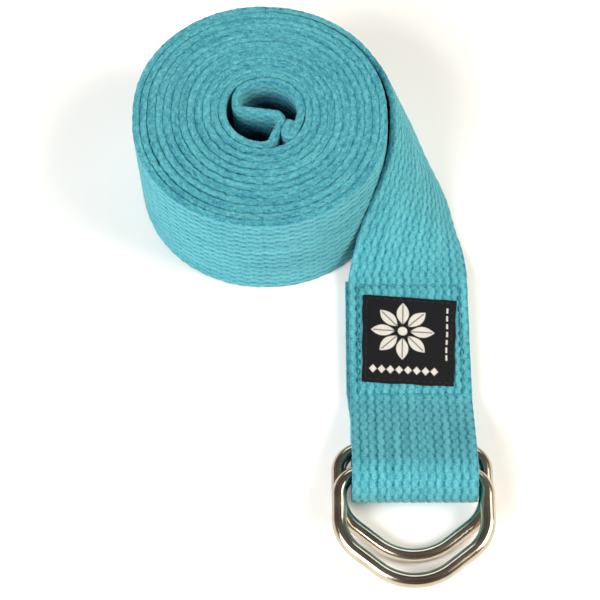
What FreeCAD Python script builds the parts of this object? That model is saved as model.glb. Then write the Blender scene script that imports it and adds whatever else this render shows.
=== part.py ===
import FreeCAD, Part
import math
import os

from FreeCAD import Placement, Rotation, Vector

# A rolled-up cotton stretching strap with two D-rings sewn into its end, lying on a flat surface.
# X runs to the right, Y from the rings to the roll and Z up. The origin is under the middle of the whole
# object, on the surface that it lies on. The webbing is one long strip; its stretches are separate solids
# that meet face to face, from the hem in the middle of the roll to the ply folded back under the rings.

# Webbing
WIDTH = 38.0
THICK = 2.3
PITCH = 2.34
HALF_THICK = THICK / 2

# Roll: the strip winds clockwise from the core, seen from above; a half turn goes from front to back.
ROLL_X, ROLL_Y = -13.4, 52.8
CORE_FRONT = 12.3
FIRST_RADIUS = 13.2
COIL_HALVES = 20
COIL_STRETCHES = 4
OUTER_HALVES = 3
TIGHT_HALVES = 10
SIDE_RUN = 0.8
LOOSE_FRONT = 3.0
LOOSE_GROWTH = 1.5
LOOSE_LEFT = 1.4

# Core: the hemmed end, and the curl that starts the roll
HEM_PLY = 2.7
HEM_BEND = (PITCH + 0.1) / 2
HEM_HEADING = -112.0
HEM_START = (6.8, -4.5)
CURL = [
    ("go", 2.2),
    ("left", 11.2, 132.0),
    ("left", 6.5, 70.0),
    ("go", 1.2),
    ("left", 2.6, 83.0),
    ("go", 8.9),
    ("right", 2.7, 105.0),
]
CORE_CORNER = 3.0

# Sewn end: two plies lie flat, and the loop between them holds the rings.
END_X = 31.4
END_START = 12.0
SEAM_GAP = 0.3
PLY_GAP = 0.1
STITCH_HEIGHT = 0.3
RAMP_ANGLE = 24.0
RAMP_BEND = 8.0
LOOP_RADIUS = 6.9
LOOP_Y = -59.5

# Twist: the outer face's lower and upper edge at each station between the roll's last turn and the sewn end
TWIST = [
    ((3.5, 93.2, 0.0), (3.4, 90.7, 38.0)),
    ((18.3, 89.0, 0.0), (15.7, 81.9, 37.3)),
    ((27.6, 83.9, 0.0), (21.0, 75.1, 36.5)),
    ((32.7, 77.6, 0.0), (23.9, 70.2, 36.1)),
    ((35.9, 69.8, 0.0), (25.9, 64.6, 36.0)),
    ((39.2, 60.1, 0.0), (27.2, 58.0, 35.7)),
    ((42.9, 50.6, 0.0), (27.2, 50.6, 34.3)),
    ((45.9, 41.2, 0.0), (26.2, 42.2, 31.7)),
    ((47.8, 31.6, 0.6), (22.9, 33.1, 27.7)),
    ((49.2, 26.3, 1.4), (19.2, 26.8, 22.2)),
    ((49.9, 21.5, 2.5), (15.9, 21.8, 14.8)),
    ((50.3, 16.5, 3.9), (13.7, 16.7, 8.4)),
]
TWIST_CUTS = 36

# D-rings: round wire bent to a D with a straight bar, closed at the bar
WIRE = 4.5
RING_CENTRE_X = 31.3
RING_INNER_WIDTH = 40.0
RING_LENGTH = 33.2
RING_CORNER = 7.0
NOSE_RADIUS = 17.3
NOSE_ANGLE = 38.0
NOSE_FLAT = 8.5
RING_TILT = 7.5
RING_AXIS_SETBACK = 0.8
BACK_AXIS = (-50.6, 6.55)
FRONT_AXIS = (-60.0, 10.15)

# Label and stitching
LABEL_SIZE = (29.5, 30.5, 0.5)
LABEL_CENTRE = (31.6, -10.5)
LABEL_TURN = -2.5
BOX_LEFT, BOX_RIGHT = 15.2, 47.6
BOX_FRONT, BOX_BACK = -30.0, 9.0
STITCH = (2.4, 0.7)
STITCH_PITCH = 3.2
LABEL_STITCH = (1.6, 0.4)
LABEL_STITCH_PITCH = 2.34
LABEL_STITCH_INSET = 1.0
LABEL_STITCH_HEIGHT = 0.2
HEM_STITCH_COUNT = 11
STITCH_EASE = 0.4


def ahead(heading):
    angle = math.radians(heading)
    return Vector(math.cos(angle), math.sin(angle), 0)


def left_of(heading):
    return ahead(heading + 90)


def walk(point, heading, moves):
    """Each move's (start, start heading, end, end heading, bend centre or None), and the last pose."""
    steps = []
    for kind, size, *turn in moves:
        if kind == "go":
            centre = None
            end, end_heading = point + ahead(heading) * size, heading
        else:
            side = 1 if kind == "left" else -1
            centre = point + left_of(heading) * (side * size)
            end_heading = heading + side * turn[0]
            end = centre - left_of(end_heading) * (side * size)
        steps.append((point, heading, end, end_heading, centre))
        point, heading = end, end_heading
    return steps, point, heading


def edge_beside(step, offset):
    """One step's line or arc, moved sideways to the left by offset."""
    start, heading, end, end_heading, centre = step
    first = start + left_of(heading) * offset
    last = end + left_of(end_heading) * offset
    if centre is None:
        return Part.makeLine(first, last)
    middle_heading = (heading + end_heading) / 2
    side = 1 if end_heading > heading else -1
    radius = (start - centre).Length - side * offset
    middle = centre - left_of(middle_heading) * (side * radius)
    return Part.Arc(first, middle, last).toShape()


def strip(steps, height):
    """A strip of webbing standing on edge along the steps; height is its extrusion vector."""
    left = [edge_beside(step, HALF_THICK) for step in steps]
    right = [edge_beside(step, -HALF_THICK) for step in steps]
    start, heading = steps[0][0], steps[0][1]
    end, end_heading = steps[-1][2], steps[-1][3]
    caps = []
    for point, way in ((start, heading), (end, end_heading)):
        side = left_of(way) * HALF_THICK
        caps.append(Part.makeLine(point + side, point - side))
    outline = Part.Wire(Part.__sortEdges__(left + right + caps))
    return Part.Face(outline).extrude(height)


def half_turn(index):
    """Moves of one half turn of the roll, counted outwards from the core; its front slackens outwards."""
    radius = FIRST_RADIUS + index * PITCH / 2
    reached = (index + 1) // 2 * 2 - TIGHT_HALVES
    share = min(1.0, max(0.0, reached / (COIL_HALVES - TIGHT_HALVES)))
    run = SIDE_RUN + LOOSE_FRONT * share ** LOOSE_GROWTH
    moves = [("right", radius, 90.0), ("go", run), ("right", radius, 90.0)]
    if index >= COIL_HALVES and index % 2 == 0:
        return [("go", LOOSE_LEFT)] + moves + [("go", LOOSE_LEFT)]
    return moves


def roll_stretches():
    """The standing stretches of the webbing by name, each a list of steps, and the pose where they end."""
    start = Vector(ROLL_X + HEM_START[0], ROLL_Y + HEM_START[1], 0)
    hem_moves = [("go", HEM_PLY), ("left", HEM_BEND, 180.0), ("go", HEM_PLY)]
    hem, point, heading = walk(start, HEM_HEADING, hem_moves)
    curl, point, heading = walk(point, heading, CURL)
    turn = heading - 180.0
    drop = point.y - (ROLL_Y - CORE_FRONT)
    bend_drop = CORE_CORNER * (1 - math.cos(math.radians(turn)))
    run = (drop - bend_drop) / math.sin(math.radians(turn))
    joining, point, heading = walk(point, heading, [("go", run), ("right", CORE_CORNER, turn)])
    stretches = {"webbing_hem": hem, "webbing_core_curl": curl + joining}
    each = COIL_HALVES // COIL_STRETCHES
    for name, first, count in [
        *[(f"webbing_turns_{k + 1}", k * each, each) for k in range(COIL_STRETCHES)],
        ("webbing_outer_turns", COIL_HALVES, OUTER_HALVES),
    ]:
        moves = [move for i in range(first, first + count) for move in half_turn(i)]
        stretches[name], point, heading = walk(point, heading, moves)
    return stretches, (point, heading)


def roll_edge(pose):
    """The outer face's lower and upper edge where the last turn ends."""
    point, heading = pose
    lower = point + left_of(heading) * HALF_THICK
    return tuple(lower), tuple(lower + Vector(0, 0, WIDTH))


def smooth_edge(points):
    """TWIST_CUTS + 1 points along a smooth curve through the given ones, which share out its parameter."""
    curve = Part.BSplineCurve()
    curve.interpolate(Points=[Vector(*p) for p in points], Parameters=list(range(len(points))))
    last = len(points) - 1
    return [curve.value(last * i / TWIST_CUTS) for i in range(TWIST_CUTS + 1)]


def twist(stations):
    """The stretch that leaves the roll on edge and turns to lie flat, lofted along both its edges."""
    lower = smooth_edge([a for a, b in stations])
    upper = smooth_edge([b for a, b in stations])
    middle = [(a + b) * 0.5 for a, b in zip(lower, upper)]
    sections = []
    for i, (a, b) in enumerate(zip(lower, upper)):
        along = middle[min(i + 1, len(middle) - 1)] - middle[max(i - 1, 0)]
        inward = along.cross(b - a)
        inward = inward * (THICK / inward.Length)
        lift = Vector(0, 0, max(0.0, -a.z, -(a + inward).z))
        corners = [corner + lift for corner in (a, b, b + inward, a + inward)]
        sections.append(Part.makePolygon(corners + corners[:1]))
    return Part.makeLoft(sections, True, True)


def under_bottom():
    return STITCH_HEIGHT


def top_bottom():
    return under_bottom() + THICK + PLY_GAP


def top_face():
    return top_bottom() + THICK


def flat_ply(front, back, bottom):
    return Part.makeBox(WIDTH, back - front, THICK, Vector(END_X - WIDTH / 2, front, bottom))


def loop_steps():
    """The loop round the rings: from the under ply an arc up and over, then a ramp down to the top ply."""
    angle = math.radians(RAMP_ANGLE)
    start = Vector(-LOOP_Y, under_bottom() + HALF_THICK, 0)
    arc, point, heading = walk(start, 0.0, [("left", LOOP_RADIUS, 180.0 + RAMP_ANGLE)])
    drop = point.y - top_bottom() - HALF_THICK - RAMP_BEND * (1 - math.cos(angle))
    ramp = [("go", drop / math.sin(angle)), ("right", RAMP_BEND, RAMP_ANGLE)]
    rest, point, heading = walk(point, heading, ramp)
    return arc + rest, -point.x


def ring_loop(steps):
    solid = strip(steps, Vector(0, 0, WIDTH))
    # The path was drawn with its own x along -Y, its own y up and its width towards -X.
    upright = Rotation(Vector(0, -1, 0), Vector(0, 0, 1), Vector(-1, 0, 0), "XYZ")
    solid.Placement = Placement(Vector(END_X + WIDTH / 2, 0, 0), upright)
    return solid


def ring(axis):
    """One D-ring of round wire, its bar along X, its nose tilted down towards -Y."""
    half = (RING_INNER_WIDTH + WIRE) / 2
    nose = math.radians(NOSE_ANGLE)
    shoulder = half - NOSE_RADIUS * math.sin(nose) - NOSE_FLAT * math.cos(nose)
    shoulder /= 1 - math.sin(nose)
    depth = NOSE_RADIUS * (1 - math.cos(nose)) + NOSE_FLAT * math.sin(nose) + shoulder * math.cos(nose)
    side = RING_LENGTH - RING_CORNER - depth
    bar = half - RING_CORNER
    quarter = [("go", side), ("right", shoulder, 90 - NOSE_ANGLE), ("go", NOSE_FLAT)]
    moves = [("go", bar), ("right", RING_CORNER, 90)] + quarter
    moves += [("right", NOSE_RADIUS, 2 * NOSE_ANGLE)] + quarter[::-1]
    moves += [("right", RING_CORNER, 90), ("go", bar)]
    steps, point, heading = walk(Vector(0, RING_AXIS_SETBACK, 0), 0.0, moves)
    path = Part.Wire([edge_beside(step, 0.0) for step in steps])
    section = Part.Wire(Part.makeCircle(WIRE / 2, steps[0][0], Vector(1, 0, 0)))
    solid = path.makePipeShell([section], True, False)
    place = Placement(Vector(RING_CENTRE_X, *axis), Rotation(Vector(1, 0, 0), RING_TILT))
    solid.Placement = place
    return solid


def stitch(size, height, centre, turn, base):
    """One visible stitch: a short float of thread lying on the cloth, with its upper edges eased."""
    length, width = size
    body = Part.makeBox(length, width, height, Vector(-length / 2, -width / 2, 0))
    upper = [edge for edge in body.Edges if edge.BoundBox.ZMin > height / 2]
    body = body.makeChamfer(height * STITCH_EASE, upper)
    body.Placement = Placement(Vector(centre[0], centre[1], base), Rotation(Vector(0, 0, 1), turn))
    return body


def stitched_box(left, right, front, back, size, pitch):
    """Centres and directions of the stitches round a rectangle."""
    places = []
    for first, last, fixed, turn in (
        (left, right, front, 0.0),
        (left, right, back, 0.0),
        (front, back, left, 90.0),
        (front, back, right, 90.0),
    ):
        count = round((last - first) / pitch)
        step = (last - first) / count
        for i in range(count):
            at = first + (i + 0.5) * step
            places.append(((at, fixed) if turn == 0 else (fixed, at), turn))
    return places


def box_thread(base, height):
    places = stitched_box(BOX_LEFT, BOX_RIGHT, BOX_FRONT, BOX_BACK, STITCH, STITCH_PITCH)
    return Part.makeCompound([stitch(STITCH, height, at, turn, base) for at, turn in places])


def bobbin_thread():
    """The same seam on the underside: the stitches hang below the under ply."""
    thread = box_thread(-STITCH_HEIGHT, STITCH_HEIGHT)
    return thread.mirror(Vector(0, 0, 0), Vector(0, 0, 1))


def label():
    wide, long, thick = LABEL_SIZE
    plate = Part.makeBox(wide, long, thick, Vector(-wide / 2, -long / 2, 0))
    plate.Placement = label_place()
    return plate


def label_place(rise=0.0):
    return Placement(Vector(*LABEL_CENTRE, top_face() + rise), Rotation(Vector(0, 0, 1), LABEL_TURN))


def label_thread():
    wide = LABEL_SIZE[0] / 2 - LABEL_STITCH_INSET
    long = LABEL_SIZE[1] / 2 - LABEL_STITCH_INSET
    places = stitched_box(-wide, wide, -long, long, LABEL_STITCH, LABEL_STITCH_PITCH)
    stitches = [stitch(LABEL_STITCH, LABEL_STITCH_HEIGHT, at, turn, 0.0) for at, turn in places]
    thread = Part.makeCompound(stitches)
    thread.Placement = label_place(LABEL_SIZE[2])
    return thread


def hem_thread(hem):
    """A row of stitches up the outer face of the hem, where its last ply leaves the fold."""
    start, heading, end = hem[-1][0], hem[-1][1], hem[-1][2]
    middle = (start + end) * 0.5 - left_of(heading) * HALF_THICK
    step = WIDTH / HEM_STITCH_COUNT
    stitches = []
    for i in range(HEM_STITCH_COUNT):
        body = stitch(STITCH, STITCH_HEIGHT, (0, 0), 0.0, 0.0)
        upright = Rotation(Vector(0, 0, 1), heading - 90) * Rotation(Vector(0, 1, 0), 90)
        body.Placement = Placement(middle + Vector(0, 0, (i + 0.5) * step), upright)
        stitches.append(body)
    return Part.makeCompound(stitches)


def build():
    stretches, roll_end = roll_stretches()
    loop, ramp_end = loop_steps()
    up = Vector(0, 0, WIDTH)
    top = top_face()
    end_face = (
        (END_X + WIDTH / 2, END_START, top),
        (END_X - WIDTH / 2, END_START, top),
    )
    return {
        **{name: strip(steps, up) for name, steps in stretches.items()},
        "webbing_twist": twist([roll_edge(roll_end)] + TWIST + [end_face]),
        "webbing_top_ply": flat_ply(ramp_end, END_START - SEAM_GAP, top_bottom()),
        "webbing_ring_loop": ring_loop(loop),
        "webbing_under_ply": flat_ply(LOOP_Y, END_START - SEAM_GAP, under_bottom()),
        "ring_front": ring(FRONT_AXIS),
        "ring_back": ring(BACK_AXIS),
        "label": label(),
        "label_thread": label_thread(),
        "box_needle_thread": box_thread(top, STITCH_HEIGHT),
        "box_bobbin_thread": bobbin_thread(),
        "hem_thread": hem_thread(stretches["webbing_hem"]),
    }


os.makedirs("parts", exist_ok=True)
for name, shape in build().items():
    if not shape.isValid():
        raise ValueError(name + " is not a valid shape")
    print(name, round(shape.Volume, 1), len(shape.Solids), shape.BoundBox)
    shape.exportStep("parts/" + name + ".step")
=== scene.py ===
import math

import bpy
import numpy as np
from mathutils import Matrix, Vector


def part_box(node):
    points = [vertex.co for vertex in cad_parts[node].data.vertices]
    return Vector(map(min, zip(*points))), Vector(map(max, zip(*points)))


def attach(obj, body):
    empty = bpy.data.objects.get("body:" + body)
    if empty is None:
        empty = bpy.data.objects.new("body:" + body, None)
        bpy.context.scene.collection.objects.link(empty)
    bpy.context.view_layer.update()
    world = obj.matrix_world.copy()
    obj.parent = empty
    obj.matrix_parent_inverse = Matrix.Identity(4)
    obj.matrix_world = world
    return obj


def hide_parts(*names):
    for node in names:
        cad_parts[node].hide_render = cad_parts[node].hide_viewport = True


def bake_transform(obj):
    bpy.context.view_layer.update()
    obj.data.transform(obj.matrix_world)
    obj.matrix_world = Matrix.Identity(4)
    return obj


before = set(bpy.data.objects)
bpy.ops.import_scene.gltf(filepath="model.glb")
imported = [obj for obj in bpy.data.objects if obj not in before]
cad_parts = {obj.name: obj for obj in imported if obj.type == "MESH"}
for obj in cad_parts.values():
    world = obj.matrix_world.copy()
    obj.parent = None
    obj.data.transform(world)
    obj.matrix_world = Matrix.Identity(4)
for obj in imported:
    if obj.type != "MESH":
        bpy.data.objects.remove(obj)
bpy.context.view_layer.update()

# ----------------------------------------------------------------------------------------------------------
# The webbing, and the way it lies. The strap is one strip of heavy cotton webbing, 38 mm wide and 2.3 mm
# thick, rolled up standing on its edge. The roll, the loop and the rings each follow a flat path of runs and
# bends, in millimetres, that the middle of the strip or the wire lies along.
MM = 0.001
WIDTH, THICK = 38.0, 2.3
HALF = THICK / 2


def bends(start, heading, moves):
    """A flat path as rows of (length, x, y, heading, curvature), and the place and heading where it ends.
    A bend's curvature is one over its radius, positive to the left, and a run's is nothing."""
    rows = []
    (x, y), h = start, math.radians(heading)
    for kind, size, *turn in moves:
        side = {"go": 0, "left": 1, "right": -1}[kind]
        angle = side * math.radians(turn[0]) if turn else 0.0
        rows.append((abs(angle) * size if turn else size, x, y, h, side / size if turn else 0.0))
        if turn:
            x += side * size * (math.sin(h + angle) - math.sin(h))
            y -= side * size * (math.cos(h + angle) - math.cos(h))
        else:
            x += size * math.cos(h)
            y += size * math.sin(h)
        h += angle
    return rows, (x, y), math.degrees(h)


def follow(rows, distance):
    """x, y and heading at each distance along a path. On a bend of curvature k the heading grows by k times
    the distance, x by the change of its sine over k, and y by the change of its cosine over k, turned
    about."""
    rows = np.array(rows)
    starts = np.concatenate([[0.0], np.cumsum(rows[:-1, 0])])
    at = np.clip(np.searchsorted(starts, distance, side="right") - 1, 0, len(rows) - 1)
    gone = distance - starts[at]
    x, y, h, k = rows[at, 1:].T
    bent = np.abs(k) > 1e-9
    divide = np.where(bent, k, 1.0)
    turned = h + k * gone
    x = x + np.where(bent, (np.sin(turned) - np.sin(h)) / divide, gone * np.cos(h))
    y = y - np.where(bent, (np.cos(turned) - np.cos(h)) / divide, -gone * np.sin(h))
    return x, y, turned


# The weave: only the lengthwise yarns show. Each bulges out where it floats over the weft and dives under
# the next pick, its neighbours are half a float out of step, and the yarns sit in pairs. They run round
# both edges too.
EDGE_ROUND = 0.4
FACE = WIDTH - 2 * EDGE_ROUND
EDGE_FLAT = THICK - 2 * EDGE_ROUND
EDGE = math.pi * EDGE_ROUND + EDGE_FLAT
GIRTH = 2 * (FACE + EDGE)
YARNS = 64
YARN = GIRTH / YARNS
FLOAT = 4.2
FLOAT_RISE = 0.48
BULGE_WIDE, BULGE_LONG, BULGE_FLATNESS = 1.3, 1.6, 0.4
DIP_HEIGHT = 0.25
STRAY_ALONG, STRAY_HIGH = 0.07, 0.16
PAIR_GROOVE, GROOVE_WIDE = 0.5, 0.28
SELVAGE, SELVAGE_RISE = 3.0, 0.7
TUFT_WIDE, TUFT_LONG, TUFT_HIGH = 0.6, 0.8, 0.55
ROW_STEP = 0.5


def fine_digits(first, second):
    """A number from 0 to 1 that looks like chance: the fine digits of a sine of two whole numbers."""
    return np.sin(first * 12.9 + second * 78.2) * 437.5 % 1


def weave(girth, along):
    """How high the cloth stands at each place, from 0 in the dips to 1 on the crowns. Each float is a
    flattened dome: a low power of one less the squares of the distances across and along from its middle,
    over its half width and half length. Its middle and its height stray a little. The higher of the pair's
    two yarns counts, and the groove between two pairs lowers both."""
    number = np.floor(girth / YARN + 1e-9)
    across = girth / YARN - number - 0.5
    high = 0.0
    for beside in (0, np.where(number % 2 > 0.5, -1, 1)):
        owner = (number + beside) % YARNS
        steps = along / FLOAT - owner % 2 / 2
        float_number = np.round(steps)
        stray = fine_digits(owner, float_number) - 0.5
        aside = (across - beside) * YARN / BULGE_WIDE
        beyond = (steps - float_number + STRAY_ALONG * stray) * FLOAT / BULGE_LONG
        bulge = np.clip(1 - aside ** 2 - beyond ** 2, 0, 1) ** BULGE_FLATNESS
        bulge = bulge * (1 - STRAY_HIGH / 2 + STRAY_HIGH * stray)
        high = np.maximum(high, bulge)
    outer_side = np.where(number % 2 > 0.5, across, -across)
    groove = 1 - PAIR_GROOVE * np.clip((outer_side - 0.5 + GROOVE_WIDE) / GROOVE_WIDE, 0, 1)
    return np.clip((DIP_HEIGHT + (1 - DIP_HEIGHT) * high) * groove, 0, 1)


def section(girth):
    """The strip's section, walked round from the outer face's lower edge: flat faces joined by square edges
    with rounded corners. Its second half is its first half turned about. Returns the place across and
    outwards, and the direction that faces away from the cloth there."""
    second = girth >= GIRTH / 2
    side = np.where(second, -1.0, 1.0)
    gone = girth - second * GIRTH / 2
    round_edge = np.clip(gone - FACE, 0, EDGE)
    corner = math.pi / 2 * EDGE_ROUND
    bent = np.clip(round_edge, 0, corner) + np.clip(round_edge - corner - EDGE_FLAT, 0, corner)
    turn = bent / EDGE_ROUND
    slide = np.clip(round_edge - corner, 0, EDGE_FLAT)
    sideways = np.minimum(gone, FACE) - FACE / 2 + EDGE_ROUND * np.sin(turn)
    height = HALF - EDGE_ROUND + EDGE_ROUND * np.cos(turn) - slide
    return side * sideways, side * height, side * np.sin(turn), side * np.cos(turn)


def columns(outer, inner, edges):
    """Places round the section: so many across the outer face, the inner face and each rounded edge."""
    ends = [0, FACE, FACE + EDGE, 2 * FACE + EDGE, GIRTH]
    counts = [outer, edges, inner, edges]
    return np.concatenate([
        np.linspace(ends[i], ends[i + 1], counts[i], endpoint=False) for i in range(4)
    ])


def shell(name, points, girth, along, ring=False):
    """A closed mesh from rows of points in millimetres, each row going once round the section. Quads join
    each row to the next. The last row joins the first on a ring, and otherwise one face closes each end."""
    rows, count = points.shape[:2]
    index = np.arange(rows * count).reshape(rows, count)
    ahead = np.roll(index, -1, axis=0) if ring else index[1:]
    here = index if ring else index[:-1]
    quads = np.stack([here, np.roll(here, -1, 1), np.roll(ahead, -1, 1), ahead], -1).reshape(-1, 4)
    caps = [] if ring else [index[0][::-1], index[-1]]
    corners = np.concatenate([quads.ravel(), *caps])
    totals = np.concatenate([np.full(len(quads), 4), *[[count] for cap in caps]]).astype(int)
    mesh = bpy.data.meshes.new(name)
    mesh.vertices.add(rows * count)
    mesh.vertices.foreach_set("co", (points.reshape(-1, 3) * MM).ravel())
    mesh.loops.add(len(corners))
    mesh.loops.foreach_set("vertex_index", corners)
    mesh.polygons.add(len(totals))
    mesh.polygons.foreach_set("loop_start", np.concatenate([[0], np.cumsum(totals)[:-1]]))
    mesh.polygons.foreach_set("use_smooth", np.arange(len(totals)) < len(quads))
    u = np.concatenate([girth, [girth[-1] + girth[1] - girth[0]]])
    v = np.concatenate([along, [along[-1] + along[1] - along[0]]])
    u_quads = np.stack([u[:-1], u[1:], u[1:], u[:-1]], -1)
    nearer, further = v[:len(here)], v[1:len(here) + 1]
    v_quads = np.stack([nearer, nearer, further, further], -1)
    uv = np.empty((len(here), count, 4, 2))
    uv[..., 0] = u_quads[None]
    uv[..., 1] = v_quads[:, None]
    first_cap = np.stack([girth[::-1], np.full(count, v[0])], -1)
    last_cap = np.stack([girth, np.full(count, v[rows - 1])], -1)
    uv = np.concatenate([uv.reshape(-1, 2)] + ([] if ring else [first_cap, last_cap]))
    mesh.uv_layers.new(name="cloth").data.foreach_set("uv", uv.ravel())
    mesh.update()
    mesh.validate()
    piece = bpy.data.objects.new(name, mesh)
    bpy.context.scene.collection.objects.link(piece)
    return piece


def mark(piece, name, values):
    """Stores one number for each point of the mesh, for its material to read."""
    stored = piece.data.attributes.new(name, "FLOAT", "POINT")
    stored.data.foreach_set("value", values.ravel().astype(np.float32))


def webbing(
    name, along, middle, outward, across, fine=(150, 150), edges=15,
    press=None, shift=None, rise=1.0, swell=0.0, wear_and_painted_light=None,
):
    """A stretch of the strip. Each row is the section, moved to the middle line: a place is the middle,
    plus its place across times the across direction, plus its height times the outward direction. The weave
    sinks it in from the section's outline, less so near both edges, where the cloth is woven tighter, and
    small tufts roughen the edges themselves. A face with too few columns for the weave is left plain.

    press gives how far the cloth is pressed in, and shift moves the finished points. rise is a share of the
    weave's depth, and swell is how far the crowns stand out beyond the outline, so that wound turns bed
    into each other. The last argument scales each place's crown; inside the core it falls below nothing
    with depth, which is painted shade that darkens the cloth deep in the roll's hollow."""
    girth = columns(*fine, edges)
    sideways, height, away_across, away_out = section(girth)
    high = weave(girth[None], along[:, None])
    on_outer, on_inner = girth < FACE, (girth >= FACE + EDGE) & (girth < 2 * FACE + EDGE)
    plain_outer, plain_inner = [count < FACE / YARN * 3 for count in fine]
    high[:, (on_outer & plain_outer) | (on_inner & plain_inner)] = 0.5
    tufts = fine_digits(np.floor(girth / TUFT_WIDE), np.floor(along / TUFT_LONG)[:, None])
    on_edge = girth % (FACE + EDGE) >= FACE
    high = np.where(on_edge, (1 - TUFT_HIGH) * high + TUFT_HIGH * tufts, high)
    from_edge = np.clip((WIDTH / 2 - np.abs(sideways)) / SELVAGE, 0, 1)
    depth = FLOAT_RISE * (SELVAGE_RISE + (1 - SELVAGE_RISE) * from_edge) * rise
    sunk = depth * (1 - high) - swell
    across, outward = across[:, None], outward[:, None]
    place = middle[:, None] + sideways[None, :, None] * across + height[None, :, None] * outward
    if press is not None:
        sunk = sunk + press(place, on_outer[None])
    away = away_across[None, :, None] * across + away_out[None, :, None] * outward
    place = place - sunk[..., None] * away
    if shift is not None:
        place = shift(place, along[:, None])
    place[..., 2] += np.maximum(0, -place[..., 2].min(axis=1))[:, None]
    piece = shell(name, place, girth / YARN, along / FLOAT)
    mark(piece, "crown", high if wear_and_painted_light is None else high * wear_and_painted_light(place))
    return piece


def rows_between(first, last):
    """Distances along the strip from first to last, a row of the mesh at each."""
    return np.linspace(first, last, max(2, round((last - first) / ROW_STEP) + 1))


# The cotton: dyed yarn with a soft fuzz. The crowns of the floats are rubbed paler and carry a painted
# highlight, the dips stay deep and saturated and carry painted shade, each yarn takes the dye a little
# differently, and its twisted fibres show as fine slanting lines.
def new_group(name, sockets):
    """An empty node group with its named sockets, each given as (name, in or out, kind)."""
    group = bpy.data.node_groups.new(name, "ShaderNodeTree")
    for label, way, kind in sockets:
        group.interface.new_socket(label, in_out=way, socket_type="NodeSocket" + kind)
    return group


def node(tree, kind, inputs=None, **settings):
    """Adds a node, sets its properties, and sets or links its inputs by name or number."""
    made = tree.nodes.new(kind if kind.startswith("NodeGroup") else "ShaderNode" + kind)
    for key, value in settings.items():
        setattr(made, key, value)
    for key, value in (inputs or {}).items():
        if isinstance(value, bpy.types.NodeSocket):
            tree.links.new(value, made.inputs[key])
        else:
            made.inputs[key].default_value = value
    return made


def ramp(tree, factor, stops):
    """A colour ramp through the given (position, colour) stops."""
    made = node(tree, "ValToRGB", {0: factor})
    elements = made.color_ramp.elements
    while len(elements) < len(stops):
        elements.new(0.5)
    for element, (position, colour) in zip(elements, stops):
        element.position = position
        element.color = (*colour, 1)
    return made.outputs["Color"]


def spun_yarn_group():
    """Spun yarn: fine slanting fibre lines and a slow drift of tone, from a coordinate that counts yarns
    across and floats along, and a grain of small loose fibre tufts all over the cloth."""
    group = new_group("spun_yarn", [
        ("Vector", "INPUT", "Vector"), ("Fibres", "OUTPUT", "Float"), ("Tone", "OUTPUT", "Float"),
        ("Grain", "OUTPUT", "Float"),
    ])
    start = node(group, "NodeGroupInput")
    slanted = node(group, "Mapping", {0: start.outputs[0], "Rotation": (0, 0, 0.5), "Scale": (7.0, 5.0, 1)})
    lines = node(group, "TexNoise", {0: slanted.outputs[0], "Scale": 1.0, "Detail": 3.0, "Roughness": 0.6})
    drawn = node(group, "Mapping", {0: start.outputs[0], "Scale": (0.9, 0.16, 1)})
    drift = node(group, "TexNoise", {0: drawn.outputs[0], "Scale": 1.0, "Detail": 2.0})
    place = node(group, "TexCoord")
    specks = node(group, "TexNoise", {
        0: place.outputs["Object"], "Scale": 1900.0, "Detail": 2.0, "Roughness": 0.7,
    })
    grain = node(group, "MapRange", {0: specks.outputs[0], 1: 0.34, 2: 0.66})
    node(group, "NodeGroupOutput", {0: lines.outputs[0], 1: drift.outputs[0], 2: grain.outputs[0]})
    return group


SPUN_YARN = spun_yarn_group()


def new_material(name):
    """A material with its node tree, and the Principled shader in it."""
    material = bpy.data.materials.new(name)
    material.use_nodes = True
    return material, material.node_tree, material.node_tree.nodes["Principled BSDF"]


def yarn_material(name, deepest, deep, body, wear_and_painted_light, sheen):
    """Dyed yarn: colour by how high the yarn stands, which is wear and a painted highlight on the crowns and
    painted shade in the dips, varied by fibres, grain and tone, with fibres and grain as fine relief."""
    material, tree, shader = new_material(name)
    cloth = node(tree, "UVMap", uv_map="cloth")
    yarn = node(tree, "Group", node_tree=SPUN_YARN)
    tree.links.new(cloth.outputs[0], yarn.inputs[0])
    high = node(tree, "Attribute", attribute_name="crown").outputs["Fac"]
    paleness = yarn.outputs["Tone"]
    # How high the yarn stands makes it paler: the crowns' wear with a painted highlight, the dips' painted
    # shade, and inside the core the painted shade that darkens with depth.
    for source, share in ((yarn.outputs["Fibres"], 0.45), (high, 0.75), (yarn.outputs["Grain"], 0.5)):
        added = node(tree, "Math", {0: source, 1: share, 2: paleness}, operation="MULTIPLY_ADD")
        paleness = added.outputs[0]
    spread = node(tree, "MapRange", {0: paleness, 1: 0.68, 2: 1.9})
    colour = ramp(tree, spread.outputs[0], [(0.0, deepest), (0.2, deep), (0.52, body), (1.0, wear_and_painted_light)])
    tree.links.new(colour, shader.inputs["Base Color"])
    fuzz = node(tree, "Math", {0: yarn.outputs["Fibres"], 1: yarn.outputs["Grain"]}, operation="ADD")
    bump = node(tree, "Bump", {"Height": fuzz.outputs[0], "Strength": 0.7, "Distance": 0.00016})
    tree.links.new(bump.outputs[0], shader.inputs["Normal"])
    rough = node(tree, "MapRange", {0: yarn.outputs["Fibres"], 3: 0.72, 4: 0.95})
    tree.links.new(rough.outputs[0], shader.inputs["Roughness"])
    shader.inputs["Sheen Weight"].default_value = sheen
    shader.inputs["Sheen Roughness"].default_value = 0.45
    shader.inputs["Sheen Tint"].default_value = (0.75, 1.0, 1.0, 1)
    shader.inputs["Specular IOR Level"].default_value = 0.25
    return material


# The deep and deepest colours stand for painted shade in the dips and deep inside the core; the palest is
# wear with a painted highlight.
COTTON = yarn_material(
    "turquoise_cotton", deepest=(0.003, 0.035, 0.08), deep=(0.011, 0.14, 0.23), body=(0.038, 0.255, 0.325),
    wear_and_painted_light=(0.11, 0.43, 0.485), sheen=0.2,
)


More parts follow.
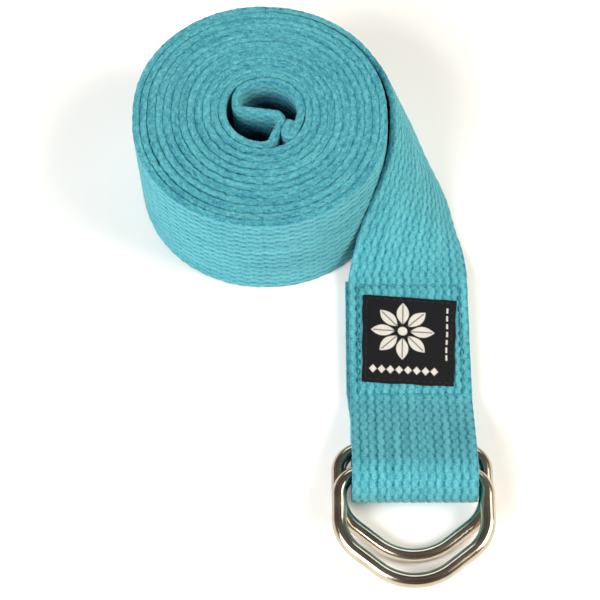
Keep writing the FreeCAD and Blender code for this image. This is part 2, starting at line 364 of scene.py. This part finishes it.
def finish_cloth(piece, body, *nodes):
    """The cotton, the body that the piece moves with, and the plain solids that it stands for."""
    piece.data.materials.append(COTTON)
    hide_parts(*nodes)
    if body:
        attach(piece, body)
    return piece


# ----------------------------------------------------------------------------------------------------------
# The roll: the strap's hemmed end is curled up in the middle, and eleven and a half turns are wound round
# it. At the front and the left the turns slacken outwards, and the whole roll leans, its foot a little to
# the right.
PITCH = 2.34
ROLL_X, ROLL_Y = -13.4, 52.8
CORE_FRONT = 12.3
FIRST_RADIUS = 13.2
COIL_HALVES, OUTER_HALVES = 20, 3
SIDE_RUN, LOOSE_FRONT, LOOSE_LEFT = 0.8, 3.0, 1.4
HEM_PLY, HEM_TURNED_IN = 2.7, 1.5
HEM_BEND = (PITCH + 0.1) / 2
HEM_FLAT, HEM_EASE, HEM_RISE = 11.0, 4.0, 0.2
HEM_START, HEM_HEADING = (ROLL_X + 7.36, ROLL_Y - 3.11), -112.0
CURL = [
    ("go", HEM_PLY + HEM_TURNED_IN), ("left", HEM_BEND, 180.0), ("go", HEM_PLY + 2.2),
    ("left", 11.2, 132.0), ("go", 1.5), ("left", 6.5, 70.0), ("go", 1.2), ("left", 2.6, 83.0),
    ("go", 9.9), ("right", 2.7, 105.0),
]
CORE_CORNER = 3.0


def half_turn(index):
    """Moves of one half turn of the roll, counted outwards from the core, with its share of the slack."""
    radius = FIRST_RADIUS + index * PITCH / 2
    share = min(1.0, (index + 1) // 2 * 2 / COIL_HALVES)
    run = SIDE_RUN + LOOSE_FRONT * share
    moves = [("right", radius, 90.0), ("go", run), ("right", radius, 90.0)]
    slack = [("go", LOOSE_LEFT * share)] if index % 2 == 0 and share else []
    return slack + moves + slack


core, place, heading = bends(HEM_START, HEM_HEADING, CURL)
closing = math.radians(heading - 180)
drop = place[1] - (ROLL_Y - CORE_FRONT) - CORE_CORNER * (1 - math.cos(closing))
joining, place, heading = bends(
    place, heading, [("go", drop / math.sin(closing)), ("right", CORE_CORNER, math.degrees(closing))]
)
roll_path = core + joining
roll_marks = [0.0, sum(row[0] for row in roll_path)]
for i in range(COIL_HALVES + OUTER_HALVES):
    turn, place, heading = bends(place, heading, half_turn(i))
    roll_path += turn
    roll_marks.append(sum(row[0] for row in roll_path))
ROLL_END = roll_marks[-1]


def standing(along):
    """The middle line of the strip where it stands on edge, with its outward and upward directions."""
    x, y, h = follow(roll_path, along)
    middle = np.stack([x, y, np.full_like(x, WIDTH / 2)], -1)
    outward = np.stack([-np.sin(h), np.cos(h), 0 * h], -1)
    return middle, outward, np.tile([0.0, 0.0, 1.0], (len(x), 1))


LEAN, LEAN_FADES_OVER = 1.2, 24


def settled(place, along):
    """The roll as it stands: its foot is pushed to the right, and two slow sine waves along the strip set
    its turns slightly unevenly in height. Both fade out on the run that leaves the roll."""
    fade = np.clip((ROLL_END + LEAN_FADES_OVER - along) / LEAN_FADES_OVER, 0, 1)
    place[..., 0] += fade * LEAN * (1 - place[..., 2] / WIDTH)
    place[..., 2] += fade * (0.25 + 0.14 * np.sin(along / 23) + 0.11 * np.sin(along / 57 + 1.3))
    return place


# Below this height inside the core the crown is pushed under nothing: painted shade that darkens the cloth
# with depth.
PAINTED_SHADE_BELOW, PAINTED_SHADE_OVER = 30.0, 6.0


def painted_depth_shade(place):
    """Painted shade inside the core: the crown's share is full at the upper edge, falls evenly with depth,
    and below goes under nothing deep inside, painting the cloth down to its deepest colour."""
    return np.clip((place[..., 2] - PAINTED_SHADE_BELOW) / PAINTED_SHADE_OVER, -2, 1)


TIGHT_SWELL, OUTER_SWELL = 0.3, 0.14

for name, first, last, fine, edges, solids in (
    ("strap_core", 0, 1, (150, 150), 15, ["webbing_hem", "webbing_core_curl"]),
    ("strap_inner_turns", 1, 11, (6, 20), 13, ["webbing_turns_1", "webbing_turns_2"]),
    ("strap_middle_turns", 11, 21, (6, 6), 13, ["webbing_turns_3", "webbing_turns_4"]),
    ("strap_slack_turn", 21, 22, (150, 6), 15, []),
    ("strap_right_turn", 22, 23, (150, 20), 15, []),
    ("strap_left_turn", 23, 24, (150, 20), 15, ["webbing_outer_turns"]),
):
    along = rows_between(roll_marks[first], roll_marks[last])
    rise = np.interp(along, [HEM_FLAT, HEM_FLAT + HEM_EASE], [HEM_RISE, 1.0])[:, None]
    last_tight = roll_marks[COIL_HALVES:COIL_HALVES + 2]
    swell = np.interp(along, last_tight, [TIGHT_SWELL, OUTER_SWELL])[:, None]
    piece = webbing(
        name, along, *standing(along), fine=fine, edges=edges, shift=settled, rise=rise, swell=swell,
        # The core and the inner turns get painted shade that darkens with depth.
        wear_and_painted_light=painted_depth_shade if name in ("strap_core", "strap_inner_turns") else None,
    )
    finish_cloth(piece, "roll", *solids)

# ----------------------------------------------------------------------------------------------------------
# The run: the strap leaves the back of the roll on edge, comes forward along its right side, and its upper
# edge falls to the left until it lies flat. Its two edges are smooth curves, and the cloth between them is
# straight.
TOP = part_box("webbing_top_ply")[1].z / MM
END_X, END_START, RUN_END = 31.4, 12.0, -10.0
RUN_EDGES = [
    ((3.5, 93.2, 0.0), (3.4, 90.7, 38.0)),
    ((18.3, 89.0, 0.0), (15.7, 81.9, 37.3)),
    ((27.6, 83.9, 0.0), (21.0, 75.1, 36.5)),
    ((32.7, 77.6, 0.0), (23.9, 70.2, 36.1)),
    ((35.9, 69.8, 0.0), (25.9, 64.6, 36.0)),
    ((39.2, 60.1, 0.0), (27.2, 58.0, 35.7)),
    ((42.9, 50.6, 0.0), (27.2, 50.6, 34.3)),
    ((45.9, 41.2, 0.0), (26.2, 42.2, 31.7)),
    ((47.8, 31.6, 0.6), (22.9, 33.1, 27.7)),
    ((49.2, 26.3, 1.4), (19.2, 26.8, 22.2)),
    ((49.9, 21.5, 2.5), (15.9, 21.8, 14.8)),
    ((50.3, 16.5, 3.9), (13.7, 16.7, 8.4)),
]


def smooth_curve(points, t):
    """A natural cubic spline through the points, one for each whole number of t: on each span the straight
    line between its two points, plus a cubic share of the bending at each, which is nothing at the curve's
    ends."""
    count = len(points)
    system, load = np.eye(count), np.zeros_like(points)
    inner = np.arange(1, count - 1)
    system[inner, inner], system[inner, inner - 1], system[inner, inner + 1] = 4, 1, 1
    load[1:-1] = 6 * (points[2:] - 2 * points[1:-1] + points[:-2])
    bending = np.linalg.solve(system, load)
    k = np.clip(np.floor(t), 0, count - 2).astype(int)
    f = (t - k)[:, None]
    g = 1 - f
    return g * points[k] + f * points[k + 1] + ((g ** 3 - g) * bending[k] + (f ** 3 - f) * bending[k + 1]) / 6


def unit(vectors):
    """The vectors, each divided by its own length."""
    return vectors / np.linalg.norm(vectors, axis=-1, keepdims=True)


# The curves are drawn from a little before the roll's end, so that the run leaves it smoothly.
LEAD_IN = 18
middle, outward, upward = standing(np.array([ROLL_END - LEAD_IN, ROLL_END]))
stations = [
    (a, a + WIDTH * up) for a, up in zip(middle + outward * HALF - upward * WIDTH / 2, upward)
]
stations += RUN_EDGES
for y in (END_START, 3.0, RUN_END):
    stations.append(((END_X + WIDTH / 2, y, TOP), (END_X - WIDTH / 2, y, TOP)))
lower = np.array([np.array(a, float) for a, b in stations])
upper = np.array([np.array(b, float) for a, b in stations])
t = np.linspace(1, len(stations) - 1, 3000)
drawn = smooth_curve((lower + upper) / 2, t)
travel = np.concatenate([[0], np.cumsum(np.linalg.norm(np.diff(drawn, axis=0), axis=1))])
RUN_LENGTH = travel[-1]
along = rows_between(ROLL_END, ROLL_END + RUN_LENGTH)
t = np.interp(along - ROLL_END, travel, t)
low, high = smooth_curve(lower, t), smooth_curve(upper, t)
forward = unit(np.gradient((low + high) / 2, axis=0))
across = (high - low) / WIDTH
outward = unit(np.cross(across, forward))
run_middle = (low + high) / 2 - outward * HALF


# The two plies are joined by a seam in a box round the label. Its stitches pull the cloth down into a
# groove.
BOX_X = (15.2, 47.6)
BOX_Y = (-30.0, 9.0)
SEAM_DEPTH, SEAM_WIDTH = 0.32, 0.9


def seam_groove(place, on_outer):
    """How far the seam pulls the cloth in: a bell curve of the distance from the seam's rectangle, on the
    upper face of the flat ply only."""
    x, y = place[..., 0], place[..., 1]
    middle_x, middle_y = sum(BOX_X) / 2, sum(BOX_Y) / 2
    beyond_x = np.abs(x - middle_x) - (BOX_X[1] - BOX_X[0]) / 2
    beyond_y = np.abs(y - middle_y) - (BOX_Y[1] - BOX_Y[0]) / 2
    outside = np.hypot(np.maximum(beyond_x, 0), np.maximum(beyond_y, 0))
    distance = np.abs(outside + np.minimum(np.maximum(beyond_x, beyond_y), 0))
    top_face = on_outer & (place[..., 2] > TOP - 0.5) & (place[..., 2] < TOP + 0.5)
    return np.where(top_face, SEAM_DEPTH * np.exp(-(distance / SEAM_WIDTH) ** 2), 0)


piece = webbing(
    "strap_run", along, run_middle, outward, across, fine=(150, 100), press=seam_groove, shift=settled
)
finish_cloth(piece, None, "webbing_twist")
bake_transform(piece)

# ----------------------------------------------------------------------------------------------------------
# The sewn end: the strap goes on flat under the label, climbs over the rings' two bars in a tall loop, and
# comes back underneath as a second ply, a little askew. The fold is stiff, so it stands up as a rounded
# hump.
FLAT_TOP = TOP - HALF
FLAT_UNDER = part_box("webbing_under_ply")[0].z / MM + HALF
RAMP_ANGLE, RAMP_BEND = 24.0, 8.0
LOOP_RADIUS, LOOP_Y = 6.9, -59.5
UNDER_ASKEW, ASKEW_FROM, ASKEW_OVER = 1.1, 22.0, 10.0
climb = math.radians(RAMP_ANGLE)
crest = FLAT_UNDER + LOOP_RADIUS * (1 + math.cos(climb))
ramp_run = (crest - FLAT_TOP - RAMP_BEND * (1 - math.cos(climb))) / math.sin(climb)
ramp_start = -LOOP_Y - (LOOP_RADIUS + RAMP_BEND) * math.sin(climb) - ramp_run * math.cos(climb)
end_path = bends((-RUN_END, FLAT_TOP), 0.0, [
    ("go", ramp_start + RUN_END),
    ("left", RAMP_BEND, RAMP_ANGLE),
    ("go", ramp_run),
    ("right", LOOP_RADIUS, 180.0 + RAMP_ANGLE),
    ("go", -LOOP_Y + END_START - 0.3),
])[0]
LOOP_LENGTH = sum(row[0] for row in end_path[:-1])
UNDER_LENGTH = end_path[-1][0]


def lying(along):
    """The middle line of the sewn end, drawn from the side: distance towards the rings, and height."""
    x, z, h = follow(end_path, along)
    middle = np.stack([np.full_like(x, END_X), -x, z], -1)
    outward = np.stack([0 * h, np.sin(h), np.cos(h)], -1)
    return middle, outward, np.tile([-1.0, 0.0, 0.0], (len(x), 1))


before = ROLL_END + RUN_LENGTH
for name, first, last, fine, solids in (
    ("strap_loop", 0.0, LOOP_LENGTH, (150, 100), ["webbing_top_ply", "webbing_ring_loop"]),
    ("strap_under_ply", LOOP_LENGTH, LOOP_LENGTH + UNDER_LENGTH, (100, 20), ["webbing_under_ply"]),
):
    along = rows_between(first, last)
    middle, outward, across = lying(along)
    middle[:, 0] -= UNDER_ASKEW * np.clip((along - LOOP_LENGTH - ASKEW_FROM) / ASKEW_OVER, 0, 1)
    piece = webbing(name, along + before, middle, outward, across, fine=fine, press=seam_groove)
    finish_cloth(piece, "sewn_end", *solids)

# ----------------------------------------------------------------------------------------------------------
# The D-rings: nickel-plated steel wire, 4.5 mm thick, bent to a D and butted at the middle of the straight
# bar, inside the loop. Both are polished, with fine hairlines along the wire, and the nickel has a warm
# grey tint.
WIRE = 4.5
RING_INNER_WIDTH, RING_LENGTH, RING_CORNER = 40.0, 33.2, 7.0
NOSE_RADIUS, NOSE_ANGLE, NOSE_FLAT = 17.3, 38.0, 8.5
RING_TILT, RING_SETBACK, RING_X = math.radians(7.5), 0.8, 30.9
BACK_AXIS, FRONT_AXIS = (-50.6, 6.55), (-60.0, 10.15)
JOINT_DEPTH, JOINT_WIDTH = 0.18, 0.3


def ring_path():
    """The D in its own plane: half the bar, a corner, the side, the shoulder, the nose, and back again."""
    half = (RING_INNER_WIDTH + WIRE) / 2
    nose = math.radians(NOSE_ANGLE)
    shoulder = half - NOSE_RADIUS * math.sin(nose) - NOSE_FLAT * math.cos(nose)
    shoulder /= 1 - math.sin(nose)
    deep = NOSE_RADIUS * (1 - math.cos(nose)) + NOSE_FLAT * math.sin(nose) + shoulder * math.cos(nose)
    quarter = [
        ("go", RING_LENGTH - RING_CORNER - deep), ("right", shoulder, 90 - NOSE_ANGLE), ("go", NOSE_FLAT),
    ]
    bar = ("go", half - RING_CORNER)
    corner = ("right", RING_CORNER, 90)
    moves = [bar, corner, *quarter, ("right", NOSE_RADIUS, 2 * NOSE_ANGLE), *quarter[::-1], corner, bar]
    return bends((0.0, RING_SETBACK), 0.0, moves)[0]


def ring(name, axis):
    """The wire: a circle carried round the D, a place being the D's point plus the radius times the cosine
    of the turn outwards and its sine upwards. The wire is a little thinner where its ends meet."""
    path = ring_path()
    total = sum(row[0] for row in path)
    gone = np.linspace(0, total, 320, endpoint=False)
    turn = np.linspace(0, 2 * np.pi, 40, endpoint=False)
    x, y, h = follow(path, gone)
    from_joint = np.minimum(gone, total - gone)
    radius = (WIRE / 2 - JOINT_DEPTH * np.exp(-(from_joint / JOINT_WIDTH) ** 2))[:, None]
    out_x, out_y = -np.sin(h)[:, None], np.cos(h)[:, None]
    flat_x = x[:, None] + radius * np.cos(turn) * out_x
    flat_y = y[:, None] + radius * np.cos(turn) * out_y
    flat_z = radius * -np.sin(turn)
    place = np.stack([
        flat_x + RING_X,
        flat_y * math.cos(RING_TILT) - flat_z * math.sin(RING_TILT) + axis[0],
        flat_y * math.sin(RING_TILT) + flat_z * math.cos(RING_TILT) + axis[1],
    ], -1)
    return shell(name, place, turn / (2 * np.pi), gone / WIRE, ring=True)


def nickel_material():
    """Polished nickel: hairlines drawn along the wire, in the roughness and the relief, and a few faint
    smudges, in the roughness and the tint."""
    material, tree, shader = new_material("polished_nickel")
    wire = node(tree, "UVMap", uv_map="cloth")
    drawn = node(tree, "Mapping", {0: wire.outputs[0], "Scale": (60.0, 0.6, 1)})
    hairs = node(tree, "TexNoise", {0: drawn.outputs[0], "Scale": 1.0, "Detail": 4.0})
    place = node(tree, "TexCoord")
    smudges = node(tree, "TexNoise", {0: place.outputs["Object"], "Scale": 160.0, "Detail": 3.0})
    mixed = node(tree, "Math", {0: hairs.outputs[0], 1: smudges.outputs[0]}, operation="MULTIPLY")
    rough = node(tree, "MapRange", {0: mixed.outputs[0], 1: 0.1, 2: 0.5, 3: 0.13, 4: 0.27})
    tree.links.new(rough.outputs[0], shader.inputs["Roughness"])
    tint = node(tree, "MapRange", {0: smudges.outputs[0], 1: 0.3, 2: 0.7})
    colour = ramp(tree, tint.outputs[0], [(0.0, (0.44, 0.38, 0.30)), (1.0, (0.56, 0.50, 0.40))])
    tree.links.new(colour, shader.inputs["Base Color"])
    shader.inputs["Metallic"].default_value = 1.0
    bump = node(tree, "Bump", {"Height": hairs.outputs[0], "Strength": 0.12, "Distance": 0.00005})
    tree.links.new(bump.outputs[0], shader.inputs["Normal"])
    return material


NICKEL = nickel_material()
for name, axis, solid, body in (
    ("d_ring_front", FRONT_AXIS, "ring_front", "front_ring"),
    ("d_ring_back", BACK_AXIS, "ring_back", "back_ring"),
):
    piece = ring(name, axis)
    piece.data.materials.append(NICKEL)
    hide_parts(solid)
    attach(piece, body)

# ----------------------------------------------------------------------------------------------------------
# The label: a charcoal damask label about 29 by 31 mm, sewn on a little crooked. Its woven design is
# off-white: a plain rosette of eight petals, a band of lozenges below it and a broken line down its right
# side.
LABEL_THICK = 0.5
LABEL_CORNERS = ((17.1, 5.1), (46.3, 2.8), (44.5, -27.5), (16.4, -25.8))
ROSETTE_AT, ROSETTE_RADIUS = (12.6, 12.3), 10.2
PETALS, PETAL_WIDTH, PETAL_START = 8, 1.95, 0.24
BAND_AT, BAND_SPAN, LOZENGE = 26.2, (1.8, 24.4), (1.25, 1.45, 2.83)
LINE_AT, LINE_SPAN, DASH = 26.8, (3.0, 22.0), (0.28, 1.9)


def soft_step(distance, width=0.09):
    """1 inside a shape and 0 outside it, with a narrow soft edge, from the distance into it."""
    return np.clip(distance / width * 0.5 + 0.5, 0, 1)


def design(p, q):
    """The off-white part of the label, from millimetres rightwards and downwards from its upper left
    corner. A petal is the space between two parabolas that meet at its ends, and a lozenge's half width
    falls evenly to its ends."""
    x, y = p - ROSETTE_AT[0], q - ROSETTE_AT[1]
    sector = 2 * np.pi / PETALS
    angle = (np.arctan2(y, x) + sector / 2) % sector - sector / 2
    radius = np.hypot(x, y)
    out, side = radius * np.cos(angle) / ROSETTE_RADIUS, np.abs(radius * np.sin(angle))
    half, centre = (1 - PETAL_START) / 2, (1 + PETAL_START) / 2
    petals = soft_step(PETAL_WIDTH * (1 - ((out - centre) / half) ** 2) - side)
    veins = soft_step(0.22 - np.abs(side)) * soft_step((0.93 - out) * ROSETTE_RADIUS)
    eye = soft_step(PETAL_START * 0.62 * ROSETTE_RADIUS - radius)
    wide, tall, step = LOZENGE
    within = (p > BAND_SPAN[0]) & (p < BAND_SPAN[1])
    beside = np.abs((p - BAND_SPAN[0]) % step - step / 2)
    lozenges = soft_step(1 - beside / wide - np.abs(q - BAND_AT) / tall, 0.12) * within
    dash_on = ((q - LINE_SPAN[0]) % (DASH[1] * 1.5) < DASH[1]) & (q > LINE_SPAN[0]) & (q < LINE_SPAN[1])
    dashes = soft_step(DASH[0] - np.abs(p - LINE_AT)) * dash_on
    return np.clip(petals * (1 - 0.75 * veins) + eye + lozenges + dashes, 0, 1)


def corner_shares(p, q):
    """How much each of the label's four corners counts at a place, from its shares of the way rightwards
    and downwards."""
    return [(1 - p) * (1 - q), p * (1 - q), p * q, (1 - p) * q]


def label_piece():
    """The label: rows down it, each going over the upper face, round the right edge, back underneath and
    round the left edge. Its four corners are blended evenly, and the cloth dips and rises a little over the
    webbing."""
    rows, fine = 190, 190
    edge, plain = 5, 12
    q = np.linspace(0, 1, rows)[:, None]
    arc = np.linspace(0, 1, edge + 2)[1:-1]
    p = np.concatenate([np.linspace(0, 1, fine), 1 + 0 * arc, np.linspace(1, 0, plain), 0 * arc])[None]
    lift = np.concatenate([np.ones(fine), 1 - arc, np.zeros(plain), arc])[None]
    bulge = np.concatenate([np.zeros(fine), np.sin(np.pi * arc), np.zeros(plain), -np.sin(np.pi * arc)])[None]
    corner = np.array(LABEL_CORNERS, float)
    shares = corner_shares(p, q)
    x = sum(share * place[0] for share, place in zip(shares, corner)) + bulge * LABEL_THICK / 2
    y = sum(share * place[1] for share, place in zip(shares, corner))
    x = x + 0.14 * np.sin(q * 17 + 1.2) * (2 * p - 1) ** 4
    y = y + 0.16 * np.sin(p * 15 + 0.4) * (2 * q - 1) ** 4
    hem = np.minimum(np.minimum(p, 1 - p), np.minimum(q, 1 - q)) * 30
    top = LABEL_THICK - 0.12 * np.exp(-((hem - 1.6) / 0.5) ** 2) + 0.05 * np.sin(x * 1.3) * np.sin(y * 1.5)
    size = (np.hypot(*(corner[1] - corner[0])), np.hypot(*(corner[3] - corner[0])))
    white = design(p * size[0], q * size[1]) * lift
    z = TOP - 0.02 + lift * (top + 0.05 * white)
    piece = shell("label_patch", np.stack([x, y, z], -1), p[0] * size[0], q[:, 0] * size[1])
    mark(piece, "design", white)
    return piece


def label_material():
    """Damask cloth: fine slanting ribs, nearly black in the ground and off-white in the design, with a soft
    satin gloss."""
    material, tree, shader = new_material("damask_label")
    cloth = node(tree, "UVMap", uv_map="cloth")
    slanted = node(tree, "Mapping", {0: cloth.outputs[0], "Rotation": (0, 0, 0.9)})
    ribs = node(tree, "TexWave", {0: slanted.outputs[0], "Scale": 0.75, "Distortion": 0.6, "Detail": 1.0})
    specks = node(tree, "TexNoise", {0: cloth.outputs[0], "Scale": 3.5, "Detail": 3.0})
    grain = node(tree, "Math", {0: ribs.outputs["Fac"], 1: specks.outputs[0]}, operation="MULTIPLY")
    ground = ramp(tree, grain.outputs[0], [(0.0, (0.003, 0.003, 0.004)), (0.6, (0.013, 0.012, 0.015))])
    pale = ramp(tree, grain.outputs[0], [(0.0, (0.36, 0.34, 0.31)), (0.45, (0.74, 0.72, 0.67))])
    white = node(tree, "Attribute", attribute_name="design").outputs["Fac"]
    mixed = node(tree, "Mix", {0: white, 6: ground, 7: pale}, data_type="RGBA")
    tree.links.new(mixed.outputs[2], shader.inputs["Base Color"])
    rough = node(tree, "MapRange", {0: grain.outputs[0], 3: 0.55, 4: 0.8})
    tree.links.new(rough.outputs[0], shader.inputs["Roughness"])
    bump = node(tree, "Bump", {"Height": grain.outputs[0], "Strength": 0.5, "Distance": 0.00008})
    tree.links.new(bump.outputs[0], shader.inputs["Normal"])
    shader.inputs["Sheen Weight"].default_value = 0.03
    shader.inputs["Specular IOR Level"].default_value = 0.12
    return material


label = label_piece()
label.data.materials.append(label_material())
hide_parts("label")
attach(label, "sewn_end")

# ----------------------------------------------------------------------------------------------------------
# The stitching: lockstitch. Each stitch is a short float of twisted thread, drawn tight so that it bows up
# in the middle and its ends go down into the cloth. The same turquoise thread closes the box seam and the
# hem.
STITCH_LENGTH, STITCH_THICK, STITCH_PITCH = 2.6, 0.62, 3.2
LABEL_STITCH_LENGTH, LABEL_STITCH_THICK, LABEL_STITCH_PITCH, LABEL_STITCH_INSET = 1.7, 0.34, 2.4, 1.0


def stitches(name, middles, ways, ups, length, thick):
    """All the stitches of a seam: each is a tube of ten rings of eight points. The rings are evenly spaced,
    their height follows a half sine wave that starts and ends in the cloth, and their radius the square
    root of another, so that both ends close."""
    t = np.linspace(0.02, 0.98, 10)
    turn = np.linspace(0, 2 * np.pi, 8, endpoint=False)
    ways, ups = unit(np.array(ways, float)), unit(np.array(ups, float))
    sides = np.cross(ways, ups)
    run = (t - 0.5) * length
    rise = thick * (0.75 * np.sin(np.pi * t) - 0.55)
    radius = thick / 2 * np.sqrt(np.sin(np.pi * t))
    spine = np.array(middles, float)[:, None] + ways[:, None] * run[None, :, None]
    spine = spine + ups[:, None] * rise[None, :, None]
    round_x, round_y = np.cos(turn)[:, None], np.sin(turn)[:, None]
    around_spine = round_x * sides[:, None, None] + round_y * ups[:, None, None]
    place = spine[:, :, None] + radius[None, :, None, None] * around_spine
    count, rows, around = place.shape[:3]
    index = np.arange(count * rows * around).reshape(count, rows, around)
    here, ahead = index[:, :-1], index[:, 1:]
    quads = np.stack([here, ahead, np.roll(ahead, -1, 2), np.roll(here, -1, 2)], -1).reshape(-1, 4)
    ends = np.concatenate([index[:, 0], index[:, -1, ::-1]])
    mesh = bpy.data.meshes.new(name)
    mesh.from_pydata((place.reshape(-1, 3) * MM).tolist(), [], quads.tolist() + ends.tolist())
    mesh.polygons.foreach_set("use_smooth", np.ones(len(mesh.polygons), bool))
    corner = np.zeros(len(mesh.loops), int)
    mesh.loops.foreach_get("vertex_index", corner)
    u = corner % around / around * 2
    v = corner // around % rows / rows * length / thick * 0.5
    uv = np.stack([u, v], -1)
    mesh.uv_layers.new(name="cloth").data.foreach_set("uv", uv.ravel())
    piece = bpy.data.objects.new(name, mesh)
    bpy.context.scene.collection.objects.link(piece)
    mark(piece, "crown", np.full(len(mesh.vertices), 0.45))
    return piece


def round_box(low_x, high_x, low_y, high_y, pitch):
    """The middle and the direction of each stitch round a rectangle, evenly shared out on each side."""
    places, ways = [], []
    for start, end in (
        ((low_x, low_y), (high_x, low_y)), ((high_x, low_y), (high_x, high_y)),
        ((high_x, high_y), (low_x, high_y)), ((low_x, high_y), (low_x, low_y)),
    ):
        start, end = np.array(start), np.array(end)
        count = round(np.linalg.norm(end - start) / pitch)
        share = (np.arange(count) + 0.5)[:, None] / count
        places.append(start + share * (end - start))
        ways.append(np.tile(end - start, (count, 1)))
    return np.concatenate(places), np.concatenate(ways)


THREAD = yarn_material(
    "turquoise_thread", deepest=(0.004, 0.05, 0.10), deep=(0.012, 0.15, 0.24), body=(0.045, 0.29, 0.35),
    wear_and_painted_light=(0.12, 0.46, 0.50), sheen=0.1,
)
DARK_THREAD = yarn_material(
    "black_thread", deepest=(0.002, 0.002, 0.003), deep=(0.004, 0.004, 0.005), body=(0.014, 0.014, 0.017),
    wear_and_painted_light=(0.045, 0.045, 0.055), sheen=0.1,
)
flat, flat_ways = round_box(*BOX_X, *BOX_Y, STITCH_PITCH)
level = np.zeros((len(flat), 1))
for name, z, up, solid in (
    ("box_seam_upper", TOP - SEAM_DEPTH + 0.12, 1.0, "box_needle_thread"),
    ("box_seam_lower", FLAT_UNDER - HALF + 0.15, -1.0, "box_bobbin_thread"),
):
    piece = stitches(
        name, np.hstack([flat, level + z]), np.hstack([flat_ways, level]),
        np.tile([0, 0, up], (len(flat), 1)), STITCH_LENGTH, STITCH_THICK,
    )
    piece.data.materials.append(THREAD)
    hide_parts(solid)
    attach(piece, "sewn_end")

# Fine black thread holds the label down, close to its edge.
label_size = (29.3, 30.6)
inset = LABEL_STITCH_INSET
flat, flat_ways = round_box(inset, label_size[0] - inset, inset, label_size[1] - inset, LABEL_STITCH_PITCH)
corner = np.array(LABEL_CORNERS, float)


def on_label(flat):
    """Places on the label, from millimetres rightwards and downwards: its four corners blended evenly."""
    p, q = (flat / label_size).T[..., None]
    return sum(share * place for share, place in zip(corner_shares(p, q), corner))


ahead = on_label(flat + unit(flat_ways.astype(float))) - on_label(flat)
level = np.zeros((len(flat), 1))
piece = stitches(
    "label_seam", np.hstack([on_label(flat), level + TOP + LABEL_THICK]), np.hstack([ahead, level]),
    np.tile([0, 0, 1.0], (len(flat), 1)), LABEL_STITCH_LENGTH, LABEL_STITCH_THICK,
)
piece.data.materials.append(DARK_THREAD)
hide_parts("label_thread")
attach(piece, "sewn_end")

# The hem's stitches stand in a column up the folded end, in the core of the roll.
HEM_STITCHES = 11
hem_at = HEM_PLY * 1.5 + HEM_TURNED_IN + math.pi * HEM_BEND
middle, outward, upward = standing(np.full(HEM_STITCHES, hem_at))
middle[:, 2] = (np.arange(HEM_STITCHES) + 0.5) * WIDTH / HEM_STITCHES
piece = stitches("hem_seam", middle - outward * (HALF - 0.1), upward, -outward, STITCH_LENGTH, STITCH_THICK)
piece.data.materials.append(THREAD)
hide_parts("hem_thread")
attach(piece, "roll")

# ----------------------------------------------------------------------------------------------------------
# The setting: a plain white table, soft light from the front left, the right and the back, a dim warm
# studio that the rings reflect, and a camera looking down at the strap.
mesh = bpy.data.meshes.new("table")
mesh.from_pydata([(-1.5, -1.5, 0), (1.5, -1.5, 0), (1.5, 1.5, 0), (-1.5, 1.5, 0)], [], [(0, 1, 2, 3)])
table = bpy.data.objects.new("table", mesh)
bpy.context.scene.collection.objects.link(table)
material, tree, shader = new_material("white_table")
shader.inputs["Base Color"].default_value = (0.93, 0.93, 0.93, 1)
shader.inputs["Roughness"].default_value = 0.7
mesh.materials.append(material)


def area_light(name, place, target, size, power, colour):
    """A soft box of the given width and height that faces its target."""
    data = bpy.data.lights.new(name, "AREA")
    data.shape = "RECTANGLE"
    data.size, data.size_y = size
    data.energy = power
    data.color = colour
    light = bpy.data.objects.new(name, data)
    light.location = place
    light.rotation_euler = (Vector(target) - Vector(place)).to_track_quat("-Z", "Y").to_euler()
    bpy.context.scene.collection.objects.link(light)


area_light("left_box", (-0.9, -0.8, 0.8), (0, 0, 0), (0.9, 0.9), 29, (1.0, 0.98, 0.95))
area_light("right_box", (1.0, -0.2, 0.75), (0, 0, 0), (0.7, 0.9), 19, (1.0, 0.93, 0.82))
area_light("back_box", (0.1, 1.0, 0.9), (0, 0, 0), (1.4, 0.4), 4.5, (0.90, 0.98, 1.0))

world = bpy.data.worlds.new("studio")
world.use_nodes = True
tree = world.node_tree
background = tree.nodes["Background"]
direction = node(tree, "TexCoord")
height = node(tree, "SeparateXYZ", {0: direction.outputs["Generated"]})
studio = ramp(tree, height.outputs[2], [
    (0.0, (0.90, 0.88, 0.86)), (0.10, (0.90, 0.88, 0.86)),
    (0.17, (0.15, 0.116, 0.080)), (0.3, (0.068, 0.050, 0.034)),
    (0.55, (0.20, 0.172, 0.132)), (0.8, (0.080, 0.066, 0.054)), (1.0, (0.17, 0.164, 0.16)),
])
tree.links.new(studio, background.inputs["Color"])
background.inputs["Strength"].default_value = 1.0
bpy.context.scene.world = world
bpy.context.scene.view_settings.view_transform = "Standard"

camera_data = bpy.data.cameras.new("camera")
camera_data.lens = 126
camera_data.sensor_width = 36
camera = bpy.data.objects.new("camera", camera_data)
camera.location = (-0.0031, -0.3252, 0.5859)
camera.rotation_euler = (Vector((-0.0031, 0.0063, 0)) - camera.location).to_track_quat("-Z", "Y").to_euler()
bpy.context.scene.collection.objects.link(camera)
bpy.context.scene.camera = camera
